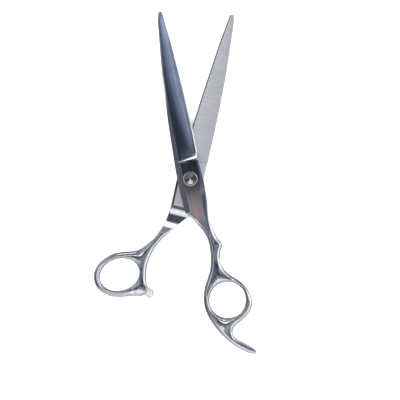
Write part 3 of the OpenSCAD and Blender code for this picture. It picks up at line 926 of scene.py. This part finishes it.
def steel_half(name, half, hole, place, polish):
    """One half of the shears, still without its pivot hole."""
    bm = half_mesh(half, hole)
    mark_ground(bm, half)
    return finish_object(name, bm, place, [polish, GROUND])


finger_half = steel_half("finger_half_steel", FINGER, FINGER_HOLE, FINGER_PLACE, FINGER_POLISH)
cut_with(finger_half, [
    drill(FINGER_PLACE, NECK[0], -PAST, HALF_T + PAST, NECK[1]),
    drill(FINGER_PLACE, GLIDE_R, -PAST, INNER_Z + POCKET_D)])
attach(finger_half, "finger_half")
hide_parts("finger_blade", "finger_handle")

thumb_half = steel_half("thumb_half_steel", THUMB, THUMB_HOLE, THUMB_PLACE, THUMB_POLISH)
cut_with(thumb_half, [
    drill(THUMB_PLACE, BUSH_R, -PAST, HALF_T + PAST),
    drill(THUMB_PLACE, GLIDE_R, -PAST, INNER_Z + POCKET_D),
    drill(THUMB_PLACE, REAR_POCKET[0], HALF_T - REAR_POCKET[1], HALF_T + PAST)])
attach(thumb_half, "thumb_half")
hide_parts("thumb_blade", "thumb_handle")

# Pivot screw: bevelled rim, narrow groove, both as width and depth, shallow cone with rows at shares of its
# radius, then neck, shoulder and threaded end, with a running gap and a small rounding
HEAD_R = 4.05
HEAD_H = 1.2
RIM_BEVEL = (0.5, 0.22)
RIM_W = 0.15
GROOVE = (0.35, 0.35)
DISH_D = 0.53
DISH_LIP = 0.1
DISH_ROWS = (0, 0.05, 0.1, 0.4, 0.7, 0.96, 1)
SHOULDER_R = 2.1
THREAD_R = 1.75
NUT_TOP = -2.95
THREAD_L = 1.05
SCREW_GAP = 0.02
SCREW_ROUND = 0.07
rim_r = HEAD_R - RIM_BEVEL[0]
groove_r = rim_r - RIM_W
dish_r = groove_r - GROOVE[0]
head_z = HALF_T + HEAD_H
dish_rise = DISH_D - DISH_LIP
dish = [(dish_r * u, head_z - DISH_D + dish_rise * u) for u in DISH_ROWS]
seat_z = HALF_T + SCREW_GAP
shoulder_z = NUT_TOP + SCREW_GAP
screw_profile = rounded(dish + [
    (dish_r, head_z - GROOVE[1]), (groove_r, head_z - GROOVE[1]), (groove_r, head_z), (rim_r, head_z),
    (HEAD_R, head_z - RIM_BEVEL[1]), (HEAD_R, seat_z), (NECK[1] - SCREW_GAP, seat_z),
    (SHOULDER_R - SCREW_GAP, shoulder_z), (THREAD_R, shoulder_z), (THREAD_R, NUT_TOP - THREAD_L),
    (0, NUT_TOP - THREAD_L)], SCREW_ROUND)
screw = finish_object("pivot_screw_turned", spin_profile(screw_profile), FINGER_PLACE, [TURNED])
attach(screw, "finger_half")
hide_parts("pivot_screw")

# Soft stop on the thumb ring's lug: a stem as radius and length, a rounded edge and a full dome
STOP_SEAT = (8.45, -67, 0)
STOP_TURN = math.radians(200)
STOP_R = 2.6
STOP_L = 4.4
STOP_STEM = (1.2, 3)
STOP_GAP = 0.1
STOP_EDGE = 0.6
STOP_DOME = 2.2
DOME_FULL = 0.8
DOME_N = 12
STOP_ARC_N = 6
STOP_SPIN_N = 64
STOP_SHARP_DEG = 50
stop_place = (THUMB_PLACE @ Matrix.Translation(STOP_SEAT) @ Matrix.Rotation(STOP_TURN, 4, "Z")
              @ Matrix.Rotation(math.pi / 2, 4, "Y"))
dome = []
for k in range(DOME_N + 1):
    s = math.pi / 2 * k / DOME_N
    rise = STOP_DOME * math.sin(s) ** DOME_FULL
    dome.append((STOP_R * math.cos(s) ** DOME_FULL, STOP_L - STOP_DOME + rise))
stop_profile = rounded([
    (0, -STOP_STEM[1]), (STOP_STEM[0], -STOP_STEM[1]), (STOP_STEM[0], STOP_GAP), (STOP_R, STOP_GAP),
    dome[0]], STOP_EDGE, STOP_ARC_N) + dome[1:]
stop_mesh = spin_profile(stop_profile, STOP_SPIN_N)
stop = finish_object("soft_stop_silicone", stop_mesh, stop_place, [SILICONE], STOP_SHARP_DEG)
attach(stop, "thumb_half")
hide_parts("soft_stop")

# Pieces whose solid is right as it is
for node, material in (("pivot_bush", NYLON), ("glide_washer", NYLON), ("thrust_washer", SPRING),
                       ("spring_washer", SPRING), ("tension_nut", TURNED)):
    data = frame["nodes"][node].data
    data.materials.clear()
    data.materials.append(material)


# Stage

HALF_TURN = 180
# The studio's walls, as brightness by degrees from straight up, each with its share of blue in the dark
WALLS = {
    "right": (1, [(0, 0.25), (20, 0.27), (34, 0.28), (43, 0.3), (49, 1), (56, 1.2), (74, 1.2), (82, 0.8),
                  (94, 0.35), (180, 0.35)]),
    "left": (1, [(0, 0.12), (30, 0.13), (41, 0.15), (46, 1), (53, 1), (59, 0.15), (86, 0.12), (98, 0.3),
                 (180, 0.3)]),
    "near": (1, [(0, 0.2), (10, 0.25), (17, 0.35), (21, 1), (32, 1.1), (40, 1.25), (46, 1), (54, 0.7),
                 (80, 0.8), (90, 0.6), (180, 0.5)]),
    "far": (1, [(0, 0.17), (60, 0.19), (90, 0.17), (180, 0.25)]),
    # Two lamps on the far wall, one above the other, and one in each of its corners
    "low_lamp": (0, [(0, 0), (12, 0), (14, 1.5), (19, 1.5), (22, 0), (180, 0)]),
    "high_lamp": (0, [(0, 0), (57, 0), (59, 1.8), (68, 1.8), (70, 0), (180, 0)]),
    "right_lamp": (0, [(0, 0), (41, 0), (46, 1.2), (72, 1.2), (82, 0), (180, 0)]),
    "left_lamp": (0, [(0, 0), (14, 0), (20, 0.45), (28, 0.45), (46, 0.1), (60, 0.1), (100, 0.4),
                      (180, 0.4)]),
    # The right wall beside the blades
    "blades": (2.7, [(0, 0.05), (13, 0.06), (18, 0.155), (23, 0.265), (31, 0.38), (34, 0.24), (38, 0.28),
                     (44, 0.32), (52, 1.3), (74, 1.3), (82, 0.8), (90, 1.3), (100, 1.3), (120, 0.5),
                     (180, 0.3)])}
# How much less red and more blue the dark has
DARK_TINT = (0.1, 0.22)
# Half width of the seams between left and right and between near and far, and how squarely a direction must
# meet an end wall to begin to see it, and to see nothing else
SEAM = 0.01
WALL_TURN = (0.25, 0.75)
# How squarely a direction must meet the far wall to see each of its lamps: not at all, and fully
LAMP_SPREAD = {"low_lamp": (0.6, 0.8), "high_lamp": (0.9, 0.96)}
# How much further round they reach on the right
LAMP_RIGHT = 0.16
# Product of how squarely a corner's middle meets its two walls, and how much darker the far right corner is
CORNER_FULL = 0.25
CORNER_DIM = 0.5
# How far ahead the right wall turns to its stretch beside the blades, and how bright that stretch is by how
# far a direction leans along the front half: from about -0.08 in a level mirror at the finger rest to 0.1 at
# the tip. Lower on the wall, between these degrees from straight up, the lean stops counting
BESIDE = (0.02, 0.05)
BLADE_LIFT = [(-0.02, 0.45), (0.03, 0.65), (0.055, 0.8), (0.102, 1.05), (0.11, 1.4), (0.128, 2.6), (0.2, 2)]
LIFT_FADE = (40, 50)
# The ceiling's colour by the same lean: steel grey and a warm grey over the handles, then navy just ahead of
# the pivot
CEILING = [
    (-0.25, "#868c97"), (-0.074, "#767d8a"), (-0.056, "#ae9aa1"), (-0.016, "#9c8c92"), (-0.004, "#6a6b74"),
    (0.014, "#1e2534"), (0.03, "#1e2534"), (0.054, "#4a4e5a")]
# The ceiling turns to this much of a pale tone on the near left, over the thumb ring, and gives way to the
# walls between these degrees from straight up
CEILING_LEFT = ((-0.048, 0.85), (-0.02, 0))
CEILING_NEAR = ((-0.03, 1), (-0.015, 0))
PALE = "#eceef1"
CEILING_REACH = (4, 8)


def wall_colour(value, blue):
    """Colour of a linear brightness: bluish where it is dark, neutral where it is bright."""
    tint = blue * max(0, 1 - value)
    return value * (1 - DARK_TINT[0] * tint), value, value * (1 + DARK_TINT[1] * tint), 1


def studio_world():
    """Four soft walls with lamps at the far end, under a ceiling that is darkest just ahead of the pivot."""
    world = bpy.data.worlds.new("studio")
    bpy.context.scene.world = world
    world.use_nodes = True
    tree = world.node_tree
    tree.nodes.clear()
    axis = add(tree, "SeparateXYZ", {0: add(tree, "TexCoord").outputs["Generated"]}).outputs
    angle = add(tree, "Math", {0: axis["Z"]}, operation="ARCCOSINE")
    turn = add(tree, "MapRange", {"Value": angle, "From Max": math.pi})
    wall = {}
    for name, (blue, stops) in WALLS.items():
        wall[name] = add(tree, "ValToRGB", {"Fac": turn})
        set_ramp(wall[name], [(degrees / HALF_TURN, wall_colour(value, blue)) for degrees, value in stops])
    # Which wall a direction meets, and how near it is to a corner of the room
    x2 = add(tree, "Math", {0: axis["X"], 1: axis["X"]}, operation="MULTIPLY")
    y2 = add(tree, "Math", {0: axis["Y"], 1: axis["Y"]}, operation="MULTIPLY")
    both = add(tree, "Math", {0: x2, 1: y2}, operation="ADD")
    facing = add(tree, "Math", {0: y2, 1: both}, operation="DIVIDE")
    sideways = add(tree, "Math", {0: 1, 1: facing}, operation="SUBTRACT")
    in_corner = add(tree, "Math", {0: facing, 1: sideways}, operation="MULTIPLY")
    is_right = add(tree, "MapRange", {"Value": axis["X"], "From Min": -SEAM, "From Max": SEAM})
    is_far = add(tree, "MapRange", {"Value": axis["Y"], "From Min": -SEAM, "From Max": SEAM})
    is_left = add(tree, "Math", {0: 1, 1: is_right}, operation="SUBTRACT")
    # What changes along the front half: how bright the right wall is, and the ceiling
    ahead = add(tree, "Math", {0: axis["X"], 1: -math.tan(FINGER_TURN), 2: axis["Y"]},
                operation="MULTIPLY_ADD")
    by_lean = {"lift": [(q, (v, v, v, 1)) for q, v in BLADE_LIFT],
               "ceiling": [(q, linear(tone)) for q, tone in CEILING]}
    lean = {}
    for name, stops in by_lean.items():
        first, last = stops[0][0], stops[-1][0]
        place = add(tree, "MapRange", {"Value": ahead, "From Min": first, "From Max": last})
        lean[name] = add(tree, "ValToRGB", {"Fac": place})
        set_ramp(lean[name], [((q - first) / (last - first), colour) for q, colour in stops])
    lift = add(tree, "MapRange", {
        "Value": turn, "From Min": LIFT_FADE[0] / HALF_TURN, "From Max": LIFT_FADE[1] / HALF_TURN,
        "To Min": lean["lift"], "To Max": 1})
    blades = add(tree, "VectorMath", {0: wall["blades"], "Scale": lift}, operation="SCALE")
    beside = add(tree, "MapRange", {"Value": axis["Y"], "From Min": BESIDE[0], "From Max": BESIDE[1]})
    right = add(tree, "Mix", {"Factor": beside, 6: wall["right"], 7: blades}, data_type="RGBA")
    across = add(tree, "Mix", {"Factor": is_right, 6: wall["left"], 7: right}, data_type="RGBA")
    far = wall["far"]
    lamp_facing = add(tree, "Math", {0: is_right, 1: LAMP_RIGHT, 2: facing}, operation="MULTIPLY_ADD")
    for name, (none, full) in LAMP_SPREAD.items():
        straight = add(tree, "MapRange", {"Value": lamp_facing, "From Min": none, "From Max": full})
        lamp = add(tree, "VectorMath", {0: wall[name], "Scale": straight}, operation="SCALE")
        far = add(tree, "VectorMath", {0: far, 1: lamp}, operation="ADD")
    ends = add(tree, "Mix", {"Factor": is_far, 6: wall["near"], 7: far}, data_type="RGBA")
    turned = add(tree, "MapRange", {"Value": facing, "From Min": WALL_TURN[0], "From Max": WALL_TURN[1]})
    lit = add(tree, "Mix", {"Factor": turned, 6: across, 7: ends}, data_type="RGBA")
    # A lamp in each far corner, the right one last, because that corner is then dimmed
    for name, side in (("left_lamp", is_left), ("right_lamp", is_right)):
        far_side = add(tree, "Math", {0: side, 1: is_far}, operation="MULTIPLY")
        far_corner = add(tree, "Math", {0: far_side, 1: in_corner}, operation="MULTIPLY")
        share = add(tree, "MapRange", {"Value": far_corner, "From Max": CORNER_FULL})
        lamp = add(tree, "VectorMath", {0: wall[name], "Scale": share}, operation="SCALE")
        lit = add(tree, "VectorMath", {0: lit, 1: lamp}, operation="ADD")
    keep = add(tree, "MapRange", {"Value": share, "To Min": 1, "To Max": 1 - CORNER_DIM})
    room = add(tree, "VectorMath", {0: lit, "Scale": keep}, operation="SCALE")
    pale_share = 1
    for name, ((start, most), (end, least)) in (("X", CEILING_LEFT), ("Y", CEILING_NEAR)):
        part = add(tree, "MapRange", {"Value": axis[name], "From Min": start, "From Max": end,
                                      "To Min": most, "To Max": least})
        pale_share = add(tree, "Math", {0: part, 1: pale_share}, operation="MULTIPLY")
    above = add(tree, "Mix", {"Factor": pale_share, 6: lean["ceiling"], 7: linear(PALE)}, data_type="RGBA")
    reach = add(tree, "MapRange", {"Value": turn, "From Min": CEILING_REACH[0] / HALF_TURN,
                                   "From Max": CEILING_REACH[1] / HALF_TURN})
    sky = add(tree, "Mix", {"Factor": reach, 6: above, 7: room}, data_type="RGBA")
    light = add(tree, "Background", {"Color": sky, "Strength": 1})
    add(tree, "OutputWorld", {"Surface": light})


# Floor, and the soft light above it
FLOOR_SIZE = 6
FLOOR_GAP = 0.02 * MM
SUN_POWER = 7
SUN_SPREAD = math.radians(120)


def pale_floor():
    """Plain matt white floor under the shears."""
    material, tree, place = new_material("matt_white_paper")
    tooth_mm = 0.8
    tooth = add(tree, "TexNoise", {"Vector": place, "Scale": METRE / tooth_mm, "Detail": 2})
    bump = add(tree, "Bump", {"Height": tooth, "Strength": 0.02, "Distance": 0.1 * MM})
    paper = add(tree, "BsdfPrincipled", {"Base Color": linear("#f4f4f4"), "Roughness": 0.9, "Normal": bump})
    add(tree, "OutputMaterial", {"Surface": paper})
    bm = bmesh.new()
    bmesh.ops.create_grid(bm, x_segments=1, y_segments=1, size=FLOOR_SIZE / 2)
    floor = finish_object("floor", bm, Matrix.Translation((0, 0, -FLOOR_GAP)), [material])
    floor.visible_glossy = False


def overhead_light():
    """Very soft light from above for the floor and the soft pieces, kept out of the mirrors."""
    lamp = bpy.data.lights.new("overhead", "SUN")
    lamp.energy = SUN_POWER
    lamp.angle = SUN_SPREAD
    obj = bpy.data.objects.new("overhead", lamp)
    obj.visible_glossy = False
    bpy.context.scene.collection.objects.link(obj)


# Camera: width of the picture and place that it looks at in metres, focal length and sensor in millimetres
FRAME_W = 0.224
LOOK_AT = (0.0054, -0.0118)
LENS = 180
SENSOR = 36


def overhead_camera():
    """Camera straight above, with the photo's framing."""
    data = bpy.data.cameras.new("camera")
    data.lens = LENS
    data.sensor_width = SENSOR
    camera = bpy.data.objects.new("camera", data)
    camera.location = (*LOOK_AT, PIVOT[2] + FRAME_W * LENS / SENSOR)
    bpy.context.scene.collection.objects.link(camera)
    bpy.context.scene.camera = camera


studio_world()
pale_floor()
overhead_light()
overhead_camera()
bpy.context.scene.view_settings.view_transform = "Standard"
